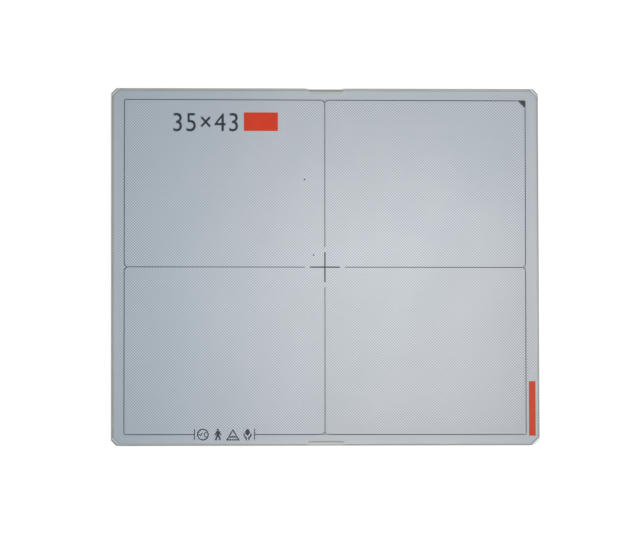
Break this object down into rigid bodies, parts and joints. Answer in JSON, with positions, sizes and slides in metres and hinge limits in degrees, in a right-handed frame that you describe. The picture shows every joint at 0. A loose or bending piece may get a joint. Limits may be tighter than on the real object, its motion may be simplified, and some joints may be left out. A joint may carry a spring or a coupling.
{
  "type": "flat panel x-ray detector",
  "caption": "Flat cassette-sized x-ray detector panel with a printed imaging face, a metal side frame, corner guards, a side tether socket and a battery that lifts out of the rear cover.",
  "frame": {"origin": "middle of the footprint, on the flat outer side of the rear cover", "axes": "+X along the long side, towards the side with the power button and tether socket; +Y along the short side, towards the upper edge of the printed face; +Z out of the imaging face"},
  "size_m": [0.46, 0.384, 0.015],
  "materials": {
    "frame_paint": "satin",
    "guard_plastic": "satin",
    "face_film": "satin",
    "carbon_plate": "satin",
    "rear_paint": "matte",
    "gasket_rubber": "matte",
    "screw_steel": "satin",
    "base_metal": "satin",
    "washer_rubber": "matte",
    "lead": "matte",
    "sensor_glass": "gloss",
    "scintillator_sheet": "satin",
    "foam": "matte",
    "film_circuit": "satin",
    "board": "satin",
    "chip_black": "satin",
    "can_steel": "satin",
    "thermal_pad": "matte",
    "battery_plastic": "satin",
    "cell_pouch": "satin",
    "gilt_contact": "polished",
    "black_plastic": "satin",
    "latch_plastic": "satin",
    "button_plastic": "satin",
    "clear_plastic": "gloss",
    "lamp": "gloss",
    "window_plastic": "satin"
  },
  "bodies": {
    "housing": {"side_frame": "frame_paint", "corner_guard_left_top": "guard_plastic", "corner_guard_right_top": "guard_plastic", "corner_guard_right_bottom": "guard_plastic", "corner_guard_left_bottom": "guard_plastic", "front_film": "face_film", "front_plate": "carbon_plate", "rear_cover": "rear_paint", "rear_gasket": "gasket_rubber", "rear_screws": "screw_steel", "base_plate": "base_metal", "isolation_washers": "washer_rubber", "base_screws": "screw_steel", "lead_sheet": "lead", "sensor_glass": "sensor_glass", "scintillator": "scintillator_sheet", "foam_sheet": "foam", "readout_flexes": "film_circuit", "gate_flexes": "film_circuit", "readout_chips": "chip_black", "gate_chips": "chip_black", "readout_board_left": "board", "readout_board_right": "board", "gate_board": "board", "power_board": "board", "main_board": "board", "radio_board": "board", "board_screws": "screw_steel", "board_chips": "chip_black", "shield_cans": "can_steel", "processor": "chip_black", "thermal_pad": "thermal_pad", "link_flexes": "film_circuit", "side_links": "film_circuit", "control_board": "board", "tact_switch": "black_plastic", "status_lamps": "lamp", "status_window": "clear_plastic", "tether_shell": "black_plastic", "tether_contacts": "gilt_contact", "radio_window_side": "window_plastic", "radio_window_top": "window_plastic", "antennas": "board", "bay_contact_block": "black_plastic", "bay_contact_pins": "gilt_contact"},
    "battery": {"battery_case": "battery_plastic", "battery_lid": "battery_plastic", "battery_cells": "cell_pouch", "battery_board": "board", "battery_pads": "gilt_contact"},
    "left_latch": {"latch_left": "latch_plastic"},
    "right_latch": {"latch_right": "latch_plastic"},
    "button": {"power_button": "button_plastic", "switch_plunger": "black_plastic"}
  },
  "joints": [
    {"name": "battery_lift", "type": "slide", "parent": "housing", "child": "battery", "axis": [0, 0, -1], "range_m": [0, 0.012]},
    {"name": "left_latch_slide", "type": "slide", "parent": "housing", "child": "left_latch", "axis": [-1, 0, 0], "range_m": [0, 0.004]},
    {"name": "right_latch_slide", "type": "slide", "parent": "housing", "child": "right_latch", "axis": [1, 0, 0], "range_m": [0, 0.004]},
    {"name": "power_press", "type": "slide", "parent": "housing", "child": "button", "axis": [-1, 0, 0], "range_m": [0, 0.0006], "stiffness_N_per_m": 2500}
  ],
  "couplings": [
    {"joint": "left_latch_slide", "follows": "battery_lift", "ratio": 0.3333},
    {"joint": "right_latch_slide", "follows": "battery_lift", "ratio": 0.3333}
  ]
}
